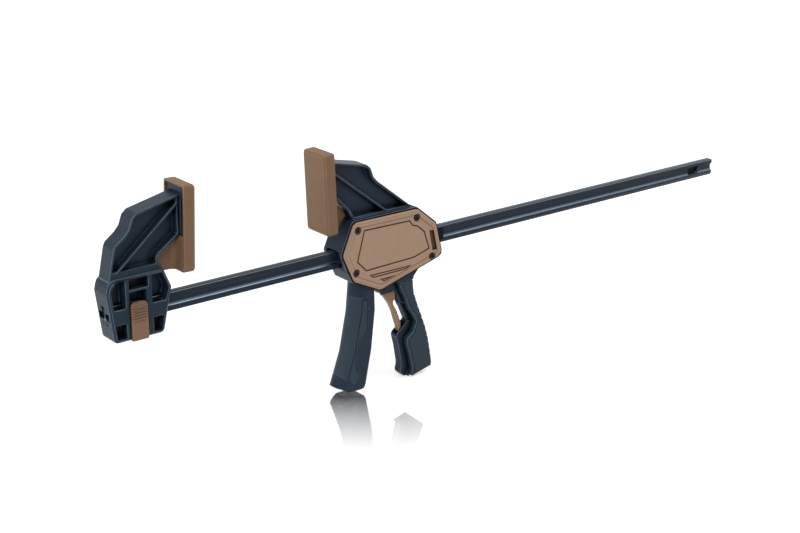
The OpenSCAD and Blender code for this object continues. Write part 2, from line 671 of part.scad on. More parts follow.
module squeeze_lever() {
    cheek0 = bar_w / 2 + 1.1;
    cheek1 = plate_w / 2;
    slope = tan(lever_travel);
    color(plastic) head() difference() {
        union() {
            intersection() {
                side(-lever_w, lever_w) lever_trim();
                union() {
                    lever_loft(soft_t);
                    difference() {
                        lever_loft(0);
                        side(-lever_w, lever_w) polygon(rounded(soft_line, 2, 3));
                    }
                }
            }
            // fork round the bar, with a nose that pushes the drive plates
            both_sides() side(cheek0, cheek1) {
                polygon(rounded([[44, -26], [52, -26], [drive_x - gap - (push_z + 21) * slope, -21],
                    [drive_x - gap, push_z], [drive_x - gap - 2, push_z + 4], lever_at + [5, 5],
                    lever_at + [-6, 5], [44.6, 4]], [0, 0, 0, 1, 1, 3, 3, 6], 3));
                translate(lever_at) circle(r = lever_pin_r + 4.6);
            }
        }
        // channel in the back
        side(-channel_w / 2, channel_w / 2)
            polygon(concat([for (z = [-32, -64, -109, -143]) [lever_front_x(z) + lever_front, z]],
                [[30, -147], [60, -149], [90, -149], [90, -32]]));
        pin_y(lever_at[0], lever_at[1], lever_pin_r + pin_fit, -lever_w, lever_w);
    }
}

module lever_cover() {
    color(soft) head() difference() {
        intersection() {
            side(-lever_w, lever_w) lever_trim();
            side(-lever_w, lever_w) polygon(rounded(soft_line, 2, 3));
            lever_loft(0);
        }
        lever_loft(soft_t);
    }
}

module lever_pin() {
    color(bright_steel) head() pin_y(lever_at[0], lever_at[1], lever_pin_r, face_y + 0.2, -face_y - 1.2);
}

module trigger_pin() {
    reach = trigger_w / 2 + 2.8;
    color(bright_steel) head() pin_y(trigger_at[0], trigger_at[1], trigger_pin_r, -reach, reach);
}

module drive_plates() {
    color(bright_steel) head() for (i = [0:drive_plates_n - 1]) translate([drive_x + i * drive_pitch, 0, 0])
        along(0, drive_t) difference() {
            translate([0, 0.5]) polygon(rounded([[-plate_w / 2, -drive_h / 2], [plate_w / 2, -drive_h / 2],
                [plate_w / 2, drive_h / 2], [-plate_w / 2, drive_h / 2]], 2));
            square([bar_w + 2 * plate_fit, bar_h + 2 * plate_fit], center = true);
        }
}

module drive_spring() {
    r = norm([bar_h, bar_w]) / 2 + 0.5 + drive_wire / 2;
    color(bright_steel) head() translate([drive_end, 0, 0]) coil(r, drive_wire, 6, seat_x - gap - drive_end);
}

module brake_plate() {
    color(bright_steel) head() translate([brake_at[0], 0, brake_at[1]]) rotate([0, brake_tilt, 0])
        translate([-brake_t / 2, 0, -brake_at[1]]) along(0, brake_t) difference() {
            polygon(rounded([[-plate_w / 2, -35.6], [plate_w / 2, -35.6], [plate_w / 2, brake_at[1] + 1.4],
                [-plate_w / 2, brake_at[1] + 1.4]], 1.6));
            square([bar_w + 2 * plate_fit, bar_h + 2 * plate_fit], center = true);
        }
}

module brake_spring() {
    start = brake_at[0] + brake_t / 2 - (brake_at[1] - brake_spring_z) * sin(brake_tilt) + gap;
    color(bright_steel) head() translate([start, 0, brake_spring_z])
        coil(3, brake_wire, 6, brake_seat_x - gap - start);
}

module release_trigger() {
    half = trigger_w / 2;
    color(tan_plastic) head() difference() {
        union() {
            pin_y(trigger_at[0], trigger_at[1], trigger_pin_r + 2.2, -half, half);
            side(-half, half) polygon(rounded([[94.4, -17], [101.2, -17], [102.2, -30], [102.2, -36],
                [101, -50], [101, -61.6], [98, -64.8], [98.6, -69], [102.4, -75.7], [105, -82.3],
                [108, -90], [108.4, -95], [107.4, -102.4], [105.8, -102.4], [104.4, -96], [101.6, -87.9],
                [98.2, -76.9], [93.7, -67.5], [84.9, -55], [84.4, -51.6]],
                [0, 0, 1, 1, 3, 1, 1, 4, 4, 8, 3, 3, 0.7, 0.7, 4, 8, 8, 8, 1, 1], 3));
        }
        pin_y(trigger_at[0], trigger_at[1], trigger_pin_r + pin_fit, -trigger_w, trigger_w);
    }
}

bar();
bar_stop_pin();
fixed_jaw();
fixed_jaw_pad();
jaw_button();
button_spring();
jaw_housing();
housing_cover();
cover_screws();
moving_jaw_pad();
front_bar_guide();
rear_bar_guide();
grip_cover();
squeeze_lever();
lever_cover();
lever_pin();
drive_plates();
drive_spring();
brake_plate();
brake_spring();
release_trigger();
trigger_pin();
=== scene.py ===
# One-handed bar clamp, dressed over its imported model: a fixed jaw on a steel bar, and a
# sliding head with a squeeze lever and a release trigger.
import bmesh
import bpy
from math import pi, radians, sin, tan
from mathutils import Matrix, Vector
from mathutils.geometry import delaunay_2d_cdt


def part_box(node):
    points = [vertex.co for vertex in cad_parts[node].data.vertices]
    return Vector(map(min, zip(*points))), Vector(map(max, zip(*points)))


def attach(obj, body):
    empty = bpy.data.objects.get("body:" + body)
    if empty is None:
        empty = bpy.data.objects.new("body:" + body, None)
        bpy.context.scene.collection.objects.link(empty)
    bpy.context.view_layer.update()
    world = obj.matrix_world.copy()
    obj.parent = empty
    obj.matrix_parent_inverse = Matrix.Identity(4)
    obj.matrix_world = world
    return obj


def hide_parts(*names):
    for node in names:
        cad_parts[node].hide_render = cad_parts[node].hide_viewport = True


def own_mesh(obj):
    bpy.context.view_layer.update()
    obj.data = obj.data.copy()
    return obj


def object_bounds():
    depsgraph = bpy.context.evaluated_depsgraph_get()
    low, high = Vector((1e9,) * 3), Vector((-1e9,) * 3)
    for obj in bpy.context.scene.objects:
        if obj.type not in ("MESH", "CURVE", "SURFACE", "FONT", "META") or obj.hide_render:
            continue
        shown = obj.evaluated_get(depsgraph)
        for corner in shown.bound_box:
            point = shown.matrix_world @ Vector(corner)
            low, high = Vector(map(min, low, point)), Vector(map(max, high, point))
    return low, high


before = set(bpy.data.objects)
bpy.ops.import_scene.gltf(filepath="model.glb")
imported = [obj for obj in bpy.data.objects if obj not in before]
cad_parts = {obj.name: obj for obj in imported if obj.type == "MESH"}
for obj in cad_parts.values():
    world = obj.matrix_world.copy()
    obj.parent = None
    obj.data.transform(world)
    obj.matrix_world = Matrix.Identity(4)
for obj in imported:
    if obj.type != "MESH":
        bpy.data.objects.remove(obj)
cad_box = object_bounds()

# --- Bar -----------------------------------------------------------------------------
# Hot-rolled steel bar of I section, sawn to length, punched near both ends for the locking
# tongues and powder coated in dark blue-grey. Everything else hangs on it.


def blank_material(name):
    """New material with its output and one Principled shader."""
    material = bpy.data.materials.new(name)
    material.use_nodes = True
    return material, material.node_tree, material.node_tree.nodes["Principled BSDF"]


def edge_and_grain_group():
    """Masks for edges paled partly as wear and partly as painted highlight, corners darkened as painted
    shade, uneven colour and moulded grain, used by every finish.
    """
    group = bpy.data.node_groups.new("edge_and_grain", "ShaderNodeTree")
    for name, value in (("Corner Width", 0.007), ("Patch Scale", 80.0), ("Grain Scale", 1800.0)):
        socket = group.interface.new_socket(name, in_out="INPUT", socket_type="NodeSocketFloat")
        socket.default_value = value
    for name in ("Edge", "Corner", "Patches", "Grain"):
        group.interface.new_socket(name, in_out="OUTPUT", socket_type="NodeSocketFloat")
    node, link = group.nodes.new, group.links.new
    given, result = node("NodeGroupInput"), node("NodeGroupOutput")
    place = node("ShaderNodeTexCoord")
    # painted shade: inner corners and gaps, where little of the surround is seen, are darkened
    shut, corner = node("ShaderNodeAmbientOcclusion"), node("ShaderNodeMapRange")
    shut.samples = 8
    corner.inputs["From Min"].default_value = 0.85
    corner.inputs["From Max"].default_value = 0.42
    link(given.outputs["Corner Width"], shut.inputs["Distance"])
    link(shut.outputs["AO"], corner.inputs["Value"])
    link(corner.outputs["Result"], result.inputs["Corner"])
    # rubbed edges, partly wear and partly painted highlight: the roundings carry a mark, which a coarse noise
    # breaks up
    mark, rub_and_highlight, uneven = node("ShaderNodeAttribute"), node("ShaderNodeTexNoise"), node("ShaderNodeMapRange")
    mark.attribute_name = "rounding"
    rub_and_highlight.inputs["Scale"].default_value = 140.0
    rub_and_highlight.inputs["Detail"].default_value = 4.0
    uneven.inputs["From Min"].default_value = 0.3
    uneven.inputs["From Max"].default_value = 0.7
    uneven.inputs["To Min"].default_value = 0.5
    worn_and_lit = node("ShaderNodeMath")
    worn_and_lit.operation = "MULTIPLY"
    worn_and_lit.use_clamp = True
    link(place.outputs["Object"], rub_and_highlight.inputs["Vector"])
    link(rub_and_highlight.outputs["Fac"], uneven.inputs["Value"])
    link(mark.outputs["Fac"], worn_and_lit.inputs[0])
    link(uneven.outputs["Result"], worn_and_lit.inputs[1])
    link(worn_and_lit.outputs["Value"], result.inputs["Edge"])
    # patches of uneven colour and fine grain
    patches, grain = node("ShaderNodeTexNoise"), node("ShaderNodeTexNoise")
    patches.inputs["Detail"].default_value = 6.0
    grain.inputs["Detail"].default_value = 2.0
    link(place.outputs["Object"], patches.inputs["Vector"])
    link(given.outputs["Patch Scale"], patches.inputs["Scale"])
    link(place.outputs["Object"], grain.inputs["Vector"])
    link(given.outputs["Grain Scale"], grain.inputs["Scale"])
    link(patches.outputs["Fac"], result.inputs["Patches"])
    link(grain.outputs["Fac"], result.inputs["Grain"])
    return group


edge_and_grain = edge_and_grain_group()


def coated(name, dark, light, edge, rough, grain, bump, shine=0.5, metal=0.0, deep=0.12, reach=0.007):
    """Finish that runs between dark and light, paler on its edges as wear and painted highlight and darker in
    its corners as painted shade, with a grain.
    """
    material, tree, shader = blank_material(name)
    node, link = tree.nodes.new, tree.links.new
    masks = node("ShaderNodeGroup")
    masks.node_tree = edge_and_grain
    masks.inputs["Corner Width"].default_value = reach
    masks.inputs["Grain Scale"].default_value = grain
    colour, rub_and_highlight, shade = node("ShaderNodeMix"), node("ShaderNodeMix"), node("ShaderNodeMix")
    colour.data_type = rub_and_highlight.data_type = shade.data_type = "RGBA"
    colour.inputs["A"].default_value = (*dark, 1)
    colour.inputs["B"].default_value = (*light, 1)
    # the edge colour is partly wear and partly painted highlight; the corner colour, the dark scaled down by
    # deep, is painted shade, spread as far as reach
    rub_and_highlight.inputs["B"].default_value = (*edge, 1)
    shade.inputs["B"].default_value = (dark[0] * deep, dark[1] * deep, dark[2] * deep, 1)
    gloss = node("ShaderNodeMapRange")
    gloss.inputs["To Min"].default_value = rough - 0.06
    gloss.inputs["To Max"].default_value = rough + 0.06
    relief = node("ShaderNodeBump")
    relief.inputs["Distance"].default_value = 0.0001
    relief.inputs["Strength"].default_value = bump
    link(masks.outputs["Patches"], colour.inputs["Factor"])
    link(masks.outputs["Edge"], rub_and_highlight.inputs["Factor"])
    link(masks.outputs["Corner"], shade.inputs["Factor"])
    link(colour.outputs["Result"], rub_and_highlight.inputs["A"])
    link(rub_and_highlight.outputs["Result"], shade.inputs["A"])
    link(shade.outputs["Result"], shader.inputs["Base Color"])
    link(masks.outputs["Grain"], gloss.inputs["Value"])
    link(gloss.outputs["Result"], shader.inputs["Roughness"])
    link(masks.outputs["Grain"], relief.inputs["Height"])
    link(relief.outputs["Normal"], shader.inputs["Normal"])
    shader.inputs["Metallic"].default_value = metal
    shader.inputs["Specular IOR Level"].default_value = shine
    return material


def start_piece(name, mesh):
    """The mesh as a new piece, alone in the selection."""
    piece = bpy.data.objects.new(name, mesh)
    bpy.context.scene.collection.objects.link(piece)
    bpy.ops.object.select_all(action="DESELECT")
    piece.select_set(True)
    bpy.context.view_layer.objects.active = piece
    return piece


def number_flats(mesh):
    """Numbers the flat regions of the mesh on its faces, and returns their normals."""
    layer = mesh.faces.layers.int.new("flat")
    for face in mesh.faces:
        face[layer] = -1
    normals = []
    for seed in mesh.faces:
        if seed[layer] >= 0:
            continue
        normals.append(seed.normal.copy())
        seed[layer] = len(normals) - 1
        waiting = [seed]
        while waiting:
            for edge in waiting.pop().edges:
                for face in edge.link_faces:
                    if face[layer] < 0 and face.normal.angle(seed.normal, 0) < radians(1.5):
                        face[layer] = len(normals) - 1
                        waiting.append(face)
    return normals


def rounding_that_fits(mesh, normals, radius):
    """How wide each sharp edge may be rounded before it meets another edge of a flat beside it."""
    layer = mesh.faces.layers.int["flat"]
    sharp = {e for e in mesh.edges if len(e.link_faces) == 2 and e.calc_face_angle(0) > radians(30)}
    width = {e: radius for e in sharp}
    borders = {}
    for face in mesh.faces:
        for side in face.loops:
            if any(other[layer] != face[layer] for other in side.edge.link_faces):
                borders.setdefault(face[layer], []).append(side)
    for flat, sides in borders.items():
        starts = {side.vert: side for side in sides}
        ends = {side.link_loop_next.vert: side for side in sides}
        for side in sides:
            edge = side.edge
            if edge not in sharp:
                continue
            a, b = side.vert.co, side.link_loop_next.vert.co
            along = (b - a).normalized()
            inward = normals[flat].cross(along)
            before, after = ends.get(side.vert), starts.get(side.link_loop_next.vert)
            # at its ends, the strip gets shorter as it gets wider
            pull = 0.0
            for other, back in ((before, -1), (after, 1)):
                if other is None:
                    continue
                reach = (other.link_loop_next.vert.co - other.vert.co) * back
                corner = (along * -back).angle(reach, 0)
                if reach.dot(inward) < 0 or corner > pi - 0.02:
                    continue
                if other.edge in sharp:
                    pull += 1 / tan(corner / 2)
                else:
                    pull += max(0, 1 / tan(corner))
                    if corner < pi - 0.1:
                        width[edge] = min(width[edge], 0.45 * reach.length * sin(corner))
            if pull > 0.02:
                width[edge] = min(width[edge], 0.8 * edge.calc_length() / pull)
            # across the flat, it stops short of the edge in front of it
            for share in (0.08, 0.5, 0.92):
                point = a.lerp(b, share)
                for other in sides:
                    if other in (side, before, after):
                        continue
                    c, d = other.vert.co - point, other.link_loop_next.vert.co - point
                    cx, dx = c.dot(along), d.dot(along)
                    if (cx > 0) == (dx > 0):
                        continue
                    cy = c.dot(inward)
                    room = cy - (d.dot(inward) - cy) * cx / (dx - cx)
                    if room > 1e-6:
                        width[edge] = min(width[edge], room * (0.38 if other.edge in sharp else 0.8))
    for _ in range(6):
        for vert in mesh.verts:
            run = [e for e in vert.link_edges if e in sharp]
            if len(run) == 2:
                p, q = run
                width[p] = min(width[p], width[q] + 0.4 * p.calc_length())
                width[q] = min(width[q], width[p] + 0.4 * q.calc_length())
    return width


def refill_folded_flats(mesh, normals):
    """Fills each flat region that the rounding has folded again from its border."""
    layer = mesh.faces.layers.int["flat"]
    regions, folded = {}, set()
    for face in mesh.faces:
        if face.material_index == 0:
            regions.setdefault(face[layer], []).append(face)
    for a, b, c in mesh.calc_loop_triangles():
        if a.face.material_index == 0:
            normal = (b.vert.co - a.vert.co).cross(c.vert.co - a.vert.co)
            if normal.dot(normals[a.face[layer]]) < -1e-11:
                folded.add(a.face[layer])
    for flat in sorted(folded):
        faces, up = regions[flat], normals[flat]
        right = up.orthogonal().normalized()
        ahead = up.cross(right)
        mine = set(faces)
        border = [e for f in faces for e in f.edges if any(g not in mine for g in e.link_faces)]
        height = faces[0].verts[0].co.dot(up)
        bmesh.ops.delete(mesh, geom=faces, context="FACES_KEEP_BOUNDARY")
        border = [e for e in dict.fromkeys(border) if e.is_valid]
        corners = list(dict.fromkeys(v for e in border for v in e.verts))
        number = {v: i for i, v in enumerate(corners)}
        plan = [Vector((v.co.dot(right), v.co.dot(ahead))) for v in corners]
        sides = [(number[e.verts[0]], number[e.verts[1]]) for e in border]
        points, _, triangles, origin, _, _ = delaunay_2d_cdt(plan, sides, [], 0, 1e-6)
        found = [corners[o[0]] if o else None for o in origin]
        for triangle in triangles:
            middle = sum((points[i] for i in triangle), Vector((0, 0))) / 3
            crossings = 0
            for p, q in ((plan[i], plan[j]) for i, j in sides):
                if (p.y > middle.y) != (q.y > middle.y):
                    crossings += middle.x < p.x + (q.x - p.x) * (middle.y - p.y) / (q.y - p.y)
            if crossings % 2 == 0:
                continue
            for i in triangle:
                if found[i] is None:
                    found[i] = mesh.verts.new(right * points[i].x + ahead * points[i].y + up * height)
            around = [found[i] for i in triangle]
            if len(set(around)) == 3 and not mesh.faces.get(around):
                mesh.faces.new(around)


def mark_rounding(mesh):
    """Marks each rounded outer edge along its middle, where the finish is paled, partly as wear and partly as
    painted highlight.
    """
    layer = mesh.verts.layers.float.new("rounding")
    mesh.normal_update()
    for vert in mesh.verts:
        if all(face.material_index == 1 for face in vert.link_faces):
            bend = sum(e.calc_face_angle_signed(0) for e in vert.link_edges if len(e.link_faces) == 2)
            vert[layer] = 1.0 if bend > 0 else 0.0
    for face in mesh.faces:
        face.material_index = 0


def round_edges(piece, radius):
    """Rounds the sharp edges of a closed moulding, each as far as its neighbours allow, and shades it."""
    piece.data.materials.clear()
    for _ in range(2):
        piece.data.materials.append(None)
    mesh = bmesh.new()
    mesh.from_mesh(piece.data)
    normals = number_flats(mesh)
    share = mesh.edges.layers.float.new("bevel_weight_edge")
    for edge, width in rounding_that_fits(mesh, normals, radius).items():
        edge[share] = width / radius if width > 0.00003 else 0
    mesh.to_mesh(piece.data)
    mesh.free()
    soften = piece.modifiers.new("rounded_edges", "BEVEL")
    soften.width = radius
    soften.segments = 3
    soften.limit_method = "WEIGHT"
    soften.use_clamp_overlap = False
    soften.material = 1
    bpy.ops.object.modifier_apply(modifier=soften.name)
    mesh = bmesh.new()
    mesh.from_mesh(piece.data)
    bmesh.ops.remove_doubles(mesh, verts=mesh.verts, dist=0.000004)
    refill_folded_flats(mesh, normals)
    mark_rounding(mesh)
    mesh.to_mesh(piece.data)
    mesh.free()
    bpy.ops.object.shade_smooth_by_angle(angle=radians(40))
    shade = piece.modifiers.new("flat_faces", "WEIGHTED_NORMAL")
    shade.keep_sharp = True
    bpy.ops.object.modifier_apply(modifier=shade.name)


def merged_copy(node):
    """The CAD node's mesh as a new piece in the node's place, with its triangles merged to faces."""
    piece = start_piece(node + "_finish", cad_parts[node].data.copy())
    bpy.ops.object.mode_set(mode="EDIT")
    bpy.ops.mesh.select_all(action="SELECT")
    bpy.ops.mesh.remove_doubles(threshold=0.000002)
    bpy.ops.mesh.dissolve_limited(angle_limit=radians(1))
    bpy.ops.object.mode_set(mode="OBJECT")
    bpy.ops.mesh.customdata_custom_splitnormals_clear()
    return piece


def finished_copy(node, radius):
    """A merged copy of the CAD node with its edges rounded."""
    piece = merged_copy(node)
    round_edges(piece, radius)
    return piece


def fit(piece, node, body, finish):
    """The piece takes its finish, hides its CAD node and moves with its body."""
    piece.data.materials.clear()
    piece.data.materials.append(finish)
    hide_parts(node)
    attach(piece, body)


def cut(piece, cutter):
    """Takes the cutter out of the piece; the cut faces keep the cutter's finish."""
    bpy.ops.object.select_all(action="DESELECT")
    bpy.context.view_layer.objects.active = piece
    piece.select_set(True)
    hollow = piece.modifiers.new("hollow", "BOOLEAN")
    hollow.object = cutter
    hollow.solver = "EXACT"
    hollow.material_mode = "TRANSFER"
    bpy.ops.object.modifier_apply(modifier=hollow.name)
    bpy.data.objects.remove(cutter)


def pick(piece, mode, test):
    """Enters edit mode with only the parts of that kind (VERT, EDGE or FACE) that pass the test selected."""
    bpy.ops.object.mode_set(mode="EDIT")
    bpy.ops.mesh.select_mode(type=mode)
    bpy.ops.mesh.select_all(action="DESELECT")
    bpy.ops.object.mode_set(mode="OBJECT")
    mesh = piece.data
    for part in {"VERT": mesh.vertices, "EDGE": mesh.edges, "FACE": mesh.polygons}[mode]:
        corners = [part.co] if mode == "VERT" else [mesh.vertices[i].co for i in part.vertices]
        part.select = all(test(corner) for corner in corners)
    bpy.ops.object.mode_set(mode="EDIT")


def paint_highlight_bands(material, bands):
    """Paints pale, metallic bands of height (start, full, full, end) onto the finish, as painted highlights.
    """
    tree = material.node_tree
    node, link = tree.nodes.new, tree.links.new
    shader = tree.nodes["Principled BSDF"]
    place, part, paint = node("ShaderNodeTexCoord"), node("ShaderNodeSeparateXYZ"), node("ShaderNodeMix")
    link(place.outputs["Object"], part.inputs["Vector"])
    total = None
    for start, full, still, end in bands:
        rise, fall, both = node("ShaderNodeMapRange"), node("ShaderNodeMapRange"), node("ShaderNodeMath")
        rise.interpolation_type = fall.interpolation_type = "SMOOTHSTEP"
        for slope, low, high in ((rise, start, full), (fall, end, still)):
            slope.inputs["From Min"].default_value = low
            slope.inputs["From Max"].default_value = high
            link(part.outputs["Z"], slope.inputs["Value"])
            link(slope.outputs["Result"], both.inputs[0 if slope is rise else 1])
        both.operation = "MULTIPLY"
        if total is None:
            total = both
        else:
            joined = node("ShaderNodeMath")
            joined.operation = "MAXIMUM"
            link(total.outputs["Value"], joined.inputs[0])
            link(both.outputs["Value"], joined.inputs[1])
            total = joined
    paint.data_type = "RGBA"
    paint.inputs["B"].default_value = (0.14, 0.185, 0.23, 1)
    link(shader.inputs["Base Color"].links[0].from_socket, paint.inputs["A"])
    link(total.outputs["Value"], paint.inputs["Factor"])
    link(paint.outputs["Result"], shader.inputs["Base Color"])
    link(total.outputs["Value"], shader.inputs["Metallic"])


bar_coat = coated("bar_coat", (0.014, 0.024, 0.039), (0.019, 0.031, 0.049),
                  (0.10, 0.13, 0.165), 0.28, 1500.0, 0.08, shine=0.12)
# painted highlights along the lower cove of the recess and along the upper rounded corner
paint_highlight_bands(bar_coat, ((-0.0012, -0.0039, -0.0043, -0.0050), (0.0082, 0.0089, 0.0091, 0.0097)))
black_plastic = coated("black_plastic", (0.004, 0.006, 0.008), (0.007, 0.009, 0.012),
                       (0.03, 0.035, 0.04), 0.5, 1500.0, 0.2, shine=0.06)
bar_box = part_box("bar")
bar_start, bar_end = bar_box[0][0] + 0.00005, bar_box[1][0] - 0.00005
bar_half_w, bar_half_h = 0.0035, 0.010
hollow_half_h, hollow_deep = 0.0048, 0.0024
near_hole_x, far_hole_x = -0.0627, bar_end - 0.035
bpy.ops.mesh.primitive_cube_add(size=1, location=((bar_start + bar_end) / 2, 0, 0),
                                scale=(bar_end - bar_start, 2 * bar_half_w, 2 * bar_half_h))
bar = bpy.context.object
bar.name = "bar_rolled"
bpy.ops.object.transform_apply(location=True, rotation=True, scale=True)
# the sawn end has its corners taken off
pick(bar, "EDGE", lambda co: co.x > bar_end - 0.0001 and co.z > 0.0099)
bpy.ops.mesh.bevel(offset=0.0022, segments=4)
pick(bar, "EDGE", lambda co: co.x > bar_end - 0.0001 and co.z < -0.0099)
bpy.ops.mesh.bevel(offset=0.0016, segments=3)
# the long corners are rolled round
bpy.ops.object.mode_set(mode="OBJECT")
for edge in bar.data.edges:
    a, b = (bar.data.vertices[i].co for i in edge.vertices)
    edge.select = (abs(abs(a.z) - bar_half_h) < 0.00001 and abs(a.z - b.z) < 0.00001
                   and abs(a.y - b.y) < 0.00001)
bpy.ops.object.mode_set(mode="EDIT")
bpy.ops.mesh.bevel(offset=0.0008, segments=4)
# the recess of each side is one wide hollow, drawn in level by level
turns = [radians(-90 + 10 * step) for step in range(19)]
for turn in turns:
    bpy.ops.mesh.select_all(action="SELECT")
    bpy.ops.mesh.bisect(plane_co=(0, 0, hollow_half_h * sin(turn)), plane_no=(0, 0, 1), threshold=0.000001)
for turn in turns[1:-1]:
    pick(bar, "VERT", lambda co: abs(co.z - hollow_half_h * sin(turn)) < 0.00001)
    bpy.ops.transform.resize(value=(1, 1 - hollow_deep * sin(turn + pi / 2) / bar_half_w, 1),
                             center_override=(0, 0, 0))
bpy.ops.object.mode_set(mode="OBJECT")
bar.data.materials.append(bar_coat)
bpy.ops.object.shade_smooth_by_angle(angle=radians(35))
# punched locking holes, and a small notch in the end
for hole_x in (near_hole_x, far_hole_x):
    bpy.ops.mesh.primitive_cube_add(size=1, location=(hole_x, 0, 0), scale=(0.013, 0.02, 0.009))
    bpy.context.object.data.materials.append(bar_coat)
    cut(bar, bpy.context.object)
bpy.ops.mesh.primitive_cylinder_add(vertices=32, radius=0.0022, depth=0.02, rotation=(pi / 2, 0, 0),
                                    location=(bar_end + 0.0017, 0, 0))
bpy.context.object.data.materials.append(bar_coat)
cut(bar, bpy.context.object)
bpy.ops.object.shade_smooth_by_angle(angle=radians(35))
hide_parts("bar")
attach(bar, "root")

# --- Stop pin ------------------------------------------------------------------------
# Rivet pressed through the web near the free end and painted with the bar, which keeps the
# head on, and a black plug that closes the far locking hole.
powder_coat = coated("powder_coat", (0.014, 0.024, 0.039), (0.019, 0.031, 0.049),
                     (0.10, 0.13, 0.165), 0.28, 1500.0, 0.08, shine=0.16)
stop_pin = finished_copy("bar_stop_pin", 0.0004)
fit(stop_pin, "bar_stop_pin", "root", powder_coat)
bpy.ops.object.select_all(action="DESELECT")
bpy.ops.mesh.primitive_cube_add(size=1, location=(far_hole_x, 0, 0), scale=(0.0129, 0.0012, 0.0089))
plug = bpy.context.object
plug.name = "hole_plug"
bpy.ops.object.transform_apply(location=True, rotation=True, scale=True)
bpy.ops.object.mode_set(mode="EDIT")
bpy.ops.mesh.select_all(action="SELECT")
bpy.ops.mesh.bevel(offset=0.0002, segments=2)
for side in (-1, 1):
    pick(plug, "FACE", lambda co: co.y * side > 0.00059)
    bpy.ops.mesh.inset(thickness=0.0012, depth=-0.0003)
bpy.ops.object.mode_set(mode="OBJECT")
plug.data.materials.append(black_plastic)
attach(plug, "root")

# --- Fixed jaw -----------------------------------------------------------------------
# Glass-filled nylon moulding: a block that is cored out to even walls round the bar, and a
# ribbed arm with an end plate that the pad snaps over.
nylon = coated("blue_grey_nylon", (0.013, 0.027, 0.047), (0.018, 0.035, 0.059),
               (0.13, 0.18, 0.235), 0.36, 1700.0, 0.3, shine=0.14, deep=0.06, reach=0.009)
fixed_jaw = finished_copy("fixed_jaw", 0.0011)
fit(fixed_jaw, "fixed_jaw", "root", nylon)

# --- Fixed jaw pad -------------------------------------------------------------------
# Tan thermoplastic rubber, moulded hollow at the back with a web of a heel, pushed over
# the end plate by hand.
rubber_tan = coated("tan_rubber", (0.215, 0.126, 0.070), (0.255, 0.153, 0.088),
                    (0.32, 0.195, 0.115), 0.5, 1200.0, 0.3, shine=0.2, deep=0.55, reach=0.006)
fixed_pad = finished_copy("fixed_jaw_pad", 0.0007)
fit(fixed_pad, "fixed_jaw_pad", "root", rubber_tan)

# --- Jaw button and its spring -------------------------------------------------------
# Tan acetal slide whose tongue locks in the bar's hole, pushed home by a coil spring.
tan_plastic = coated("tan_plastic", (0.43, 0.278, 0.182), (0.495, 0.325, 0.218),
                     (0.58, 0.42, 0.30), 0.42, 1600.0, 0.2, shine=0.3, deep=0.45)
tan_acetal = coated("tan_acetal", (0.255, 0.140, 0.085), (0.30, 0.170, 0.105),
                    (0.42, 0.27, 0.18), 0.45, 1300.0, 0.5, shine=0.25, deep=0.4)
# its upper half is moulded with fine wavy ridges for the thumb, with painted shade darkening their hollows
tree = tan_acetal.node_tree
node, link = tree.nodes.new, tree.links.new
shader = tree.nodes["Principled BSDF"]
place, part, wave = node("ShaderNodeTexCoord"), node("ShaderNodeSeparateXYZ"), node("ShaderNodeTexWave")
upper, ridge, ridge_shade, step = (node("ShaderNodeMapRange"), node("ShaderNodeMath"), node("ShaderNodeMix"),
                            node("ShaderNodeBump"))
wave.bands_direction = "Z"
wave.inputs["Scale"].default_value = 120.0
wave.inputs["Distortion"].default_value = 3.5
wave.inputs["Detail"].default_value = 1.0
wave.inputs["Detail Scale"].default_value = 1.2
button_low, button_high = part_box("jaw_button")[0][2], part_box("jaw_button")[1][2]
upper.inputs["From Min"].default_value = button_low + (button_high - button_low) * 0.50
upper.inputs["From Max"].default_value = button_low + (button_high - button_low) * 0.58
upper.inputs["To Max"].default_value = 0.7
ridge.operation = "MULTIPLY"
ridge_shade.data_type = "RGBA"
ridge_shade.inputs["B"].default_value = (0.085, 0.040, 0.022, 1)
step.inputs["Distance"].default_value = 0.0003
step.invert = True
link(place.outputs["Object"], part.inputs["Vector"])
link(place.outputs["Object"], wave.inputs["Vector"])
link(part.outputs["Z"], upper.inputs["Value"])
link(wave.outputs["Fac"], ridge.inputs[0])
link(upper.outputs["Result"], ridge.inputs[1])
link(ridge.outputs["Value"], ridge_shade.inputs["Factor"])
link(shader.inputs["Base Color"].links[0].from_socket, ridge_shade.inputs["A"])
link(shader.inputs["Normal"].links[0].from_socket, step.inputs["Normal"])
link(ridge_shade.outputs["Result"], shader.inputs["Base Color"])
link(ridge.outputs["Value"], step.inputs["Height"])
link(step.outputs["Normal"], shader.inputs["Normal"])
button = finished_copy("jaw_button", 0.0008)
fit(button, "jaw_button", "button", tan_acetal)
spring_wire = coated("spring_wire", (0.42, 0.42, 0.43), (0.55, 0.55, 0.56),
                     (0.7, 0.7, 0.7), 0.28, 900.0, 0.1, metal=1.0)
# each coil is a plain copy of its spring; the table also lists the joint, axis, seat and kept share of its
# shortening, which nothing here uses
for node, body, joint, axis, seat, keep in (
        ("button_spring", "root", "button_slide", (0, 1, 0), (0, -0.0019, 0), 0.526),
        ("drive_spring", "head", "drive_plates_slide", (1, 0, 0), (0.2537, 0, 0), 0.877),
        ("brake_spring", "head", "brake_hinge", (1, 0, 0), (0.2787, 0, 0), 0.923)):
    spring = start_piece(node + "_finish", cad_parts[node].data.copy())
    fit(spring, node, body, spring_wire)
    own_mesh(spring)

# --- Housing -------------------------------------------------------------------------
# Glass-filled nylon moulding: the shell round the mechanism, the moving arm and the core of
# the grip in one piece.
housing = finished_copy("jaw_housing", 0.0011)
fit(housing, "jaw_housing", "head", nylon)

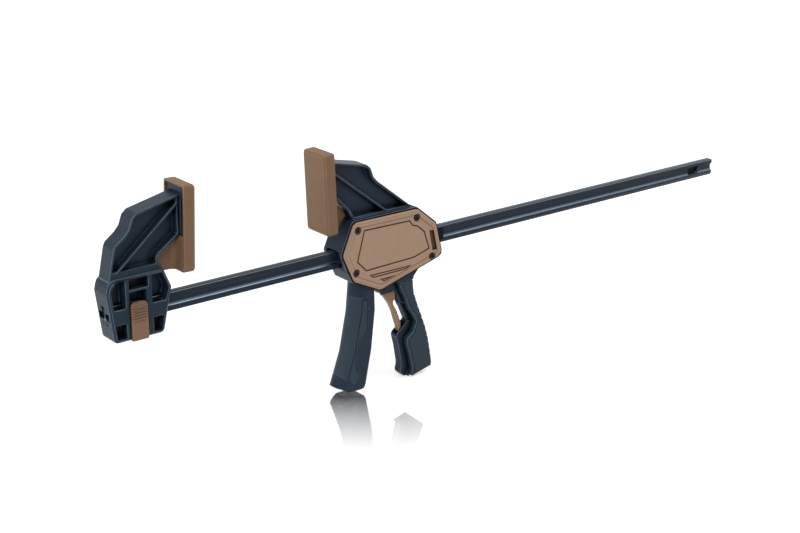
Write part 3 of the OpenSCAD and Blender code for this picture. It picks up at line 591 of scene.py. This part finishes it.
# --- Housing cover and its screws ----------------------------------------------------
# Tan moulded plate with a grooved panel, held by four black screws in counterbores.
# dark brown for the cut walls of the grooves and the slot: painted shade
painted_groove_shade = coated("painted_groove_shade", (0.12, 0.058, 0.027), (0.15, 0.075, 0.036),
                      (0.3, 0.18, 0.11), 0.5, 1600.0, 0.2, shine=0.2, deep=0.4)
black_steel = coated("black_steel", (0.006, 0.007, 0.009), (0.010, 0.011, 0.014),
                     (0.10, 0.10, 0.11), 0.32, 1200.0, 0.1, shine=0.2)
head_x = 0.158


def flat_outline(name, points, y):
    """A flat face with these corners (in mm, from the head's zero) that looks towards -Y, in edit mode."""
    bpy.ops.object.select_all(action="DESELECT")
    bpy.ops.mesh.primitive_circle_add(vertices=len(points), radius=0.01, fill_type="NGON")
    piece = bpy.context.object
    piece.name = name
    for vert, (px, pz) in zip(piece.data.vertices, points):
        vert.co = (head_x + px / 1000, y, pz / 1000)
    bpy.ops.object.mode_set(mode="EDIT")
    bpy.ops.mesh.select_mode(type="FACE")
    bpy.ops.mesh.select_all(action="SELECT")
    bpy.ops.mesh.normals_make_consistent(inside=False)
    bpy.ops.object.mode_set(mode="OBJECT")
    if piece.data.polygons[0].normal.y > 0:
        piece.data.flip_normals()
    bpy.ops.object.mode_set(mode="EDIT")
    return piece


def clipped(points, cuts):
    """The outline with each corner cut off this far back along both of its sides."""
    result = []
    for before, corner, after, back in zip(points[-1:] + points[:-1], points, points[1:] + points[:1], cuts):
        for other in (before, after):
            way = Vector(other) - Vector(corner)
            result.append(tuple(Vector(corner) + way.normalized() * back))
    return result


def push(depth):
    """Extrudes the selected faces along Y."""
    bpy.ops.mesh.extrude_region_move(TRANSFORM_OT_translate={"value": (0, depth, 0)})


cover_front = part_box("housing_cover")[0][1]
rim = clipped([(18.5, 7.3), (33.3, -25.3), (69.5, -42.8), (157.2, -19), (148, 20.5), (121, 42.8),
               (33.8, 43.2)], (2.8, 2.5, 2.5, 5.8, 2.5, 2.5, 4))
cover = flat_outline("cover_moulding", rim, -0.0161)
# the outline steps in by 2 mm, and a duplicate of the face closes the back
bpy.ops.mesh.inset(thickness=0.002)
bpy.ops.mesh.select_all(action="INVERT")
bpy.ops.mesh.delete(type="FACE")
bpy.ops.mesh.select_all(action="SELECT")
bpy.ops.mesh.duplicate()
push(-0.0011)
# slope up to the flat rim, and the rounded step down to the field inside it
bpy.ops.mesh.inset(thickness=0.0016, depth=0.0013)
bpy.ops.mesh.inset(thickness=0.0004, depth=0.0002)
bpy.ops.mesh.inset(thickness=0.0034)
bpy.ops.mesh.inset(thickness=0.0003, depth=-0.0001)
bpy.ops.mesh.inset(thickness=0.0007, depth=-0.0005)
bpy.ops.mesh.inset(thickness=0.0003, depth=-0.0001)
bpy.ops.mesh.select_all(action="SELECT")
bpy.ops.mesh.remove_doubles(threshold=0.000002)
bpy.ops.mesh.normals_make_consistent(inside=False)
bpy.ops.object.mode_set(mode="OBJECT")
cover.data.materials.append(tan_plastic)
# a darker copy of the tan for the sloped steps: painted shade
shaded_tan = coated("shaded_tan", (0.24, 0.130, 0.070), (0.29, 0.165, 0.092),
                   (0.42, 0.28, 0.18), 0.45, 1600.0, 0.2, shine=0.25, deep=0.45)
cover.data.materials.append(shaded_tan)
field = cover_front + 0.0007
# the sloped steps take a darker copy of the tan, as painted shade
for face in cover.data.polygons:
    if cover_front + 0.0001 < face.center.y < field and -0.97 < face.normal.y < -0.5:
        face.material_index = 1
for outline, wide, deep in (
        (((38, -2.6), (50, -15.2), (115, -13.6), (137, -7.6), (130, 14), (120.6, 22.2), (113.6, 24.6),
          (109.2, 30.6), (47.6, 31.6)), 0.0016, 0.0008),
        (((53.7, -20.3), (60, -24.6), (104, -24.4), (112, -20.9)), 0.0014, 0.0007),
        (((68.4, -28), (74, -31.8), (91.5, -27.7)), 0.0014, 0.0007)):
    # a ring round the panel or the dart, pushed through the face as a cutter, whose cut faces take the
    # painted shade brown
    ring = flat_outline("ring", outline, field + deep)
    bpy.ops.mesh.inset(thickness=wide)
    bpy.ops.mesh.delete(type="FACE")
    bpy.ops.mesh.select_all(action="SELECT")
    push(-0.003)
    bpy.ops.mesh.select_all(action="SELECT")
    bpy.ops.mesh.normals_make_consistent(inside=False)
    bpy.ops.object.mode_set(mode="OBJECT")
    ring.data.materials.append(painted_groove_shade)
    cut(cover, ring)
# a blind slot at the free end, whose walls take the painted shade brown
slot_cutter = flat_outline("slot_cutter", ((136.2, 13.6), (140.9, -10.4), (147, -10.2), (142.4, 12.6)),
                           field + 0.0019)
push(-0.005)
bpy.ops.mesh.select_all(action="SELECT")
bpy.ops.mesh.normals_make_consistent(inside=False)
bpy.ops.object.mode_set(mode="OBJECT")
slot_cutter.data.materials.append(painted_groove_shade)
cut(cover, slot_cutter)
# button-headed screws with a socket, each in its own counterbore
bpy.ops.mesh.primitive_cylinder_add(vertices=48, radius=0.0031, depth=0.0016, rotation=(pi / 2, 0, 0))
screw = bpy.context.object
screw.name = "cover_screw_1"
bpy.ops.object.transform_apply(location=True, rotation=True, scale=True)
pick(screw, "EDGE", lambda co: co.y < -0.0007)
bpy.ops.mesh.bevel(offset=0.0004, segments=3)
pick(screw, "FACE", lambda co: co.y < -0.00079)
bpy.ops.mesh.inset(thickness=0.0011, depth=0)
bpy.ops.mesh.inset(thickness=0.0001, depth=-0.0009)
bpy.ops.object.mode_set(mode="OBJECT")
bpy.ops.object.shade_smooth_by_angle(angle=radians(35))
screw.data.materials.append(black_steel)
for number, (px, pz) in enumerate(((39.6, 32.4), (118.9, 31.4), (140.4, -17), (37.2, -14.4)), start=1):
    bpy.ops.mesh.primitive_cylinder_add(vertices=48, radius=0.0045, depth=0.004, rotation=(pi / 2, 0, 0),
                                        location=(head_x + px / 1000, field - 0.0005, pz / 1000))
    bpy.context.object.data.materials.append(tan_plastic)
    cut(cover, bpy.context.object)
    piece = screw if number == 1 else screw.copy()
    if number > 1:
        piece.data = screw.data.copy()
        piece.name = "cover_screw_" + str(number)
        bpy.context.scene.collection.objects.link(piece)
    piece.location = (head_x + px / 1000, field + 0.0007, pz / 1000)
    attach(piece, "head")
    screw = piece
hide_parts("cover_screws")
# a thin black strip in the gap round the cover: painted shadow of the gap
gap_shadow = flat_outline("cover_gap_shadow", rim, -0.0162)
bpy.ops.mesh.inset(thickness=0.0003)
bpy.ops.mesh.select_all(action="INVERT")
bpy.ops.mesh.delete(type="FACE")
bpy.ops.mesh.select_all(action="SELECT")
bpy.ops.mesh.inset(thickness=0.0022)
bpy.ops.mesh.delete(type="FACE")
bpy.ops.mesh.select_all(action="SELECT")
push(-0.0002)
bpy.ops.mesh.select_all(action="SELECT")
bpy.ops.mesh.normals_make_consistent(inside=False)
bpy.ops.object.mode_set(mode="OBJECT")
gap_shadow.data.materials.append(black_plastic)
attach(gap_shadow, "head")
bpy.ops.object.select_all(action="DESELECT")
cover.select_set(True)
bpy.context.view_layer.objects.active = cover
bpy.ops.object.shade_smooth_by_angle(angle=radians(18))
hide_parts("housing_cover")
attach(cover, "head")

# --- Moving jaw pad ------------------------------------------------------------------
# The same moulding as the fixed pad, turned round.
moving_pad = finished_copy("moving_jaw_pad", 0.0007)
fit(moving_pad, "moving_jaw_pad", "head", rubber_tan)

# --- Bar guides ----------------------------------------------------------------------
# Sintered steel insert at the front and acetal insert at the back, which take the load.
for node, finish in (("front_bar_guide", black_steel), ("rear_bar_guide", black_plastic)):
    guide = finished_copy(node, 0.0005)
    fit(guide, node, "head", finish)

# --- Pins ----------------------------------------------------------------------------
# Ground and zinc-plated steel pins, pressed into the housing, on which the lever and the
# trigger turn.
zinc_plate = coated("zinc_plate", (0.50, 0.50, 0.51), (0.62, 0.62, 0.63),
                    (0.8, 0.8, 0.8), 0.30, 900.0, 0.1, metal=1.0)
for node in ("lever_pin", "trigger_pin"):
    pin = finished_copy(node, 0.0002)
    fit(pin, node, "head", zinc_plate)

# --- Plates --------------------------------------------------------------------------
# Blanked steel plates with a window for the bar: two grip it to drive the head along, and
# the third tips on its fulcrum and holds the head.
for node, body in (("drive_plates", "drive"), ("brake_plate", "brake")):
    plate = finished_copy(node, 0.0002)
    fit(plate, node, body, zinc_plate)

# --- Grip cover ----------------------------------------------------------------------
# Blue-grey thermoplastic rubber over the housing's core, with a rim down its front and fine
# grooves across its back.
rubber_grey = coated("blue_grey_rubber", (0.028, 0.048, 0.068), (0.038, 0.060, 0.083),
                     (0.12, 0.165, 0.21), 0.5, 1300.0, 0.4, shine=0.14, deep=0.08)
grip = finished_copy("grip_cover", 0.0009)
fit(grip, "grip_cover", "head", rubber_grey)

# --- Squeeze lever -------------------------------------------------------------------
# Glass-filled nylon lever with a rounded front and an open channel down its back. A soft
# cover of the grip's rubber lies flush round its front.
lever = finished_copy("squeeze_lever", 0.0011)
fit(lever, "squeeze_lever", "lever", nylon)
lever_cover = finished_copy("lever_cover", 0.0006)
fit(lever_cover, "lever_cover", "lever", rubber_grey)
# its outline shows as a dark seam where it meets the lever
seam = coated("rubber_seam", (0.004, 0.006, 0.009), (0.006, 0.009, 0.013),
              (0.01, 0.014, 0.02), 0.6, 1300.0, 0.2, shine=0.05)
lever_cover.data.materials.append(seam)
cover_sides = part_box("lever_cover")
for side, reach in ((-1, cover_sides[0][1]), (1, cover_sides[1][1])):
    pick(lever_cover, "FACE", lambda co: co.y * side > abs(reach) - 0.0003)
    bpy.ops.object.mode_set(mode="OBJECT")
    for face in lever_cover.data.polygons:
        if face.select:
            face.material_index = 1
    bpy.ops.object.mode_set(mode="EDIT")
    bpy.ops.mesh.inset(thickness=0.0008)
    bpy.ops.object.mode_set(mode="OBJECT")
    for face in lever_cover.data.polygons:
        if face.select:
            face.material_index = 0

# --- Release trigger -----------------------------------------------------------------
# Slim acetal blade between the lever and the grip, which pushes the brake plate upright.
trigger = finished_copy("release_trigger", 0.0011)
trigger_tan = coated("trigger_tan", (0.31, 0.175, 0.088), (0.37, 0.215, 0.112),
                     (0.52, 0.34, 0.20), 0.36, 1500.0, 0.2, shine=0.35, deep=0.3)
fit(trigger, "release_trigger", "trigger", trigger_tan)

# --- Floor ---------------------------------------------------------------------------
# A sheet of white acrylic, polished under the lever and the grip and matt elsewhere, which
# glows to the camera and in reflections so that it runs out to white.
sheet_z = cad_box[0][2] - 0.0005
bpy.ops.object.select_all(action="DESELECT")
bpy.ops.mesh.primitive_plane_add(size=8, location=(0.3, 0, sheet_z))
floor = bpy.context.object
floor.name = "floor"
bpy.ops.object.transform_apply(location=True, rotation=True, scale=True)
material, tree, shader = blank_material("white_acrylic")
node, link = tree.nodes.new, tree.links.new
shader.inputs["Base Color"].default_value = (0.8, 0.8, 0.8, 1)
shader.inputs["Specular IOR Level"].default_value = 0.3
path, seen, glow, add = (node("ShaderNodeLightPath"), node("ShaderNodeMath"),
                         node("ShaderNodeEmission"), node("ShaderNodeAddShader"))
seen.operation = "MAXIMUM"
link(path.outputs["Is Camera Ray"], seen.inputs[0])
link(path.outputs["Is Glossy Ray"], seen.inputs[1])
place, spot = node("ShaderNodeTexCoord"), node("ShaderNodeMapping")
# the polish fades out in front of the lever and behind it, and ends at the sides
spot.vector_type = "TEXTURE"
spot.inputs["Location"].default_value = (0.2196, -0.0265, sheet_z)
spot.inputs["Rotation"].default_value = (0, 0, radians(-38.08))
sides, polish, middle = node("ShaderNodeSeparateXYZ"), node("ShaderNodeMath"), node("ShaderNodeVectorMath")
middle.operation = "ABSOLUTE"
polish.operation = "MULTIPLY"
link(place.outputs["Object"], spot.inputs["Vector"])
link(spot.outputs["Vector"], middle.inputs[0])
link(middle.outputs["Vector"], sides.inputs["Vector"])
for number, (axis, start, end, most) in enumerate((("Y", 0.0, 0.165, 1.05), ("X", 0.075, 0.105, 1.0))):
    fade = node("ShaderNodeMapRange")
    for socket, value in (("From Min", start), ("From Max", end), ("To Min", most), ("To Max", 0.0)):
        fade.inputs[socket].default_value = value
    link(sides.outputs[axis], fade.inputs["Value"])
    link(fade.outputs["Result"], polish.inputs[number])
# under the grip only the part further in front is polished, and that starts as a wedge
turned, beside, front, part = (node("ShaderNodeSeparateXYZ"), node("ShaderNodeMapRange"),
                               node("ShaderNodeMapRange"), node("ShaderNodeMix"))
whole, polish = polish, node("ShaderNodeMath")
polish.operation = "MULTIPLY"
beside.inputs["From Min"].default_value = -0.002
beside.inputs["From Max"].default_value = 0.006
front.inputs["From Min"].default_value = -0.051
front.inputs["From Max"].default_value = -0.045
front.inputs["To Min"].default_value = 0.8
front.inputs["To Max"].default_value = 0.0
part.inputs["A"].default_value = 1.0
link(spot.outputs["Vector"], turned.inputs["Vector"])
link(turned.outputs["X"], beside.inputs["Value"])
beyond, wedge = node("ShaderNodeMath"), node("ShaderNodeMath")
beyond.operation = "SUBTRACT"
beyond.inputs[1].default_value = 0.027
wedge.operation = "ABSOLUTE"
slope = node("ShaderNodeMath")
slope.operation = "MULTIPLY_ADD"
slope.inputs[1].default_value = 1.5
link(turned.outputs["X"], beyond.inputs[0])
link(beyond.outputs["Value"], wedge.inputs[0])
link(wedge.outputs["Value"], slope.inputs[0])
link(turned.outputs["Y"], slope.inputs[2])
link(slope.outputs["Value"], front.inputs["Value"])
link(beside.outputs["Result"], part.inputs["Factor"])
link(front.outputs["Result"], part.inputs["B"])
link(whole.outputs["Value"], polish.inputs[0])
link(part.outputs["Result"], polish.inputs[1])
# the far part of the sheet runs out to white
apart, far = node("ShaderNodeVectorMath"), node("ShaderNodeMapRange")
apart.operation = "DISTANCE"
apart.inputs[1].default_value = (0.33, 0.0, sheet_z)
far.inputs["From Min"].default_value = 0.7
far.inputs["From Max"].default_value = 1.6
link(place.outputs["Object"], apart.inputs[0])
link(apart.outputs["Value"], far.inputs["Value"])
# each ramp's value where the sheet is plain, its value where it is polished, and the polish that it takes
ramps = {}
for name, plain, changed, full, source in (
        ("Metallic", 0.0, 1.0, 1.0, polish), ("Roughness", 0.6, 0.03, 0.15, polish),
        ("Base Color", 0.8, 0.95, 1.0, polish), ("near", 0.6, 0.05, 1.0, polish),
        ("far", 0.0, 0.4, 1.0, far)):
    ramps[name] = node("ShaderNodeMapRange")
    for socket, value in (("From Max", full), ("To Min", plain), ("To Max", changed)):
        ramps[name].inputs[socket].default_value = value
    link(source.outputs[0], ramps[name].inputs["Value"])
    if name in shader.inputs:
        link(ramps[name].outputs["Result"], shader.inputs[name])
total, strength = node("ShaderNodeMath"), node("ShaderNodeMath")
total.operation = "ADD"
link(ramps["near"].outputs["Result"], total.inputs[0])
link(ramps["far"].outputs["Result"], total.inputs[1])
strength.operation = "MULTIPLY"
link(seen.outputs["Value"], strength.inputs[0])
link(total.outputs["Value"], strength.inputs[1])
link(strength.outputs["Value"], glow.inputs["Strength"])
link(shader.outputs["BSDF"], add.inputs[0])
link(glow.outputs["Emission"], add.inputs[1])
link(add.outputs["Shader"], tree.nodes["Material Output"].inputs["Surface"])
floor.data.materials.append(material)

# --- Light ---------------------------------------------------------------------------
# Pale surround, white where the camera or a reflection sees it, and three soft boxes.
world = bpy.data.worlds.new("surround")
bpy.context.scene.world = world
world.use_nodes = True
tree = world.node_tree
node, link = tree.nodes.new, tree.links.new
path, seen, level = node("ShaderNodeLightPath"), node("ShaderNodeMath"), node("ShaderNodeMapRange")
seen.operation = "MAXIMUM"
also = node("ShaderNodeMath")
also.operation = "MAXIMUM"
link(path.outputs["Is Camera Ray"], seen.inputs[0])
link(path.outputs["Is Glossy Ray"], seen.inputs[1])
link(seen.outputs["Value"], also.inputs[0])
link(path.outputs["Is Transmission Ray"], also.inputs[1])
level.inputs["To Min"].default_value = 0.28
level.inputs["To Max"].default_value = 1.0
link(also.outputs["Value"], level.inputs["Value"])
link(level.outputs["Result"], tree.nodes["Background"].inputs["Strength"])
tree.nodes["Background"].inputs["Color"].default_value = (1, 1, 1, 1)

for name, place, aim, size, power in (
        ("key", (-1.1, -1.1, 1.5), (0.2, 0, 0), (0.8, 0.8), 13),
        ("strip", (1.2, -0.4, 1.4), (1.1, 0, 0), (1.8, 0.5), 13),
        ("side", (-1.7, 0.3, 0.7), (0.2, 0, 0), (0.8, 0.8), 11)):
    lamp = bpy.data.lights.new(name, "AREA")
    lamp.shape = "RECTANGLE"
    lamp.size, lamp.size_y = size
    lamp.energy = power
    holder = bpy.data.objects.new(name, lamp)
    holder.location = place
    holder.rotation_euler = (Vector(aim) - Vector(place)).to_track_quat("-Z", "Y").to_euler()
    bpy.context.scene.collection.objects.link(holder)

# --- Camera --------------------------------------------------------------------------
# From the front left and a little above, with a long lens.
view = bpy.data.objects.new("camera", bpy.data.cameras.new("camera"))
view.location = (-0.76740, -1.32136, 0.56299)
view.rotation_euler = (radians(70.62), 0, radians(-38.08))
view.data.lens = 73.14
view.data.sensor_width = 36
bpy.context.scene.collection.objects.link(view)
bpy.context.scene.camera = view
bpy.context.scene.view_settings.view_transform = "Standard"
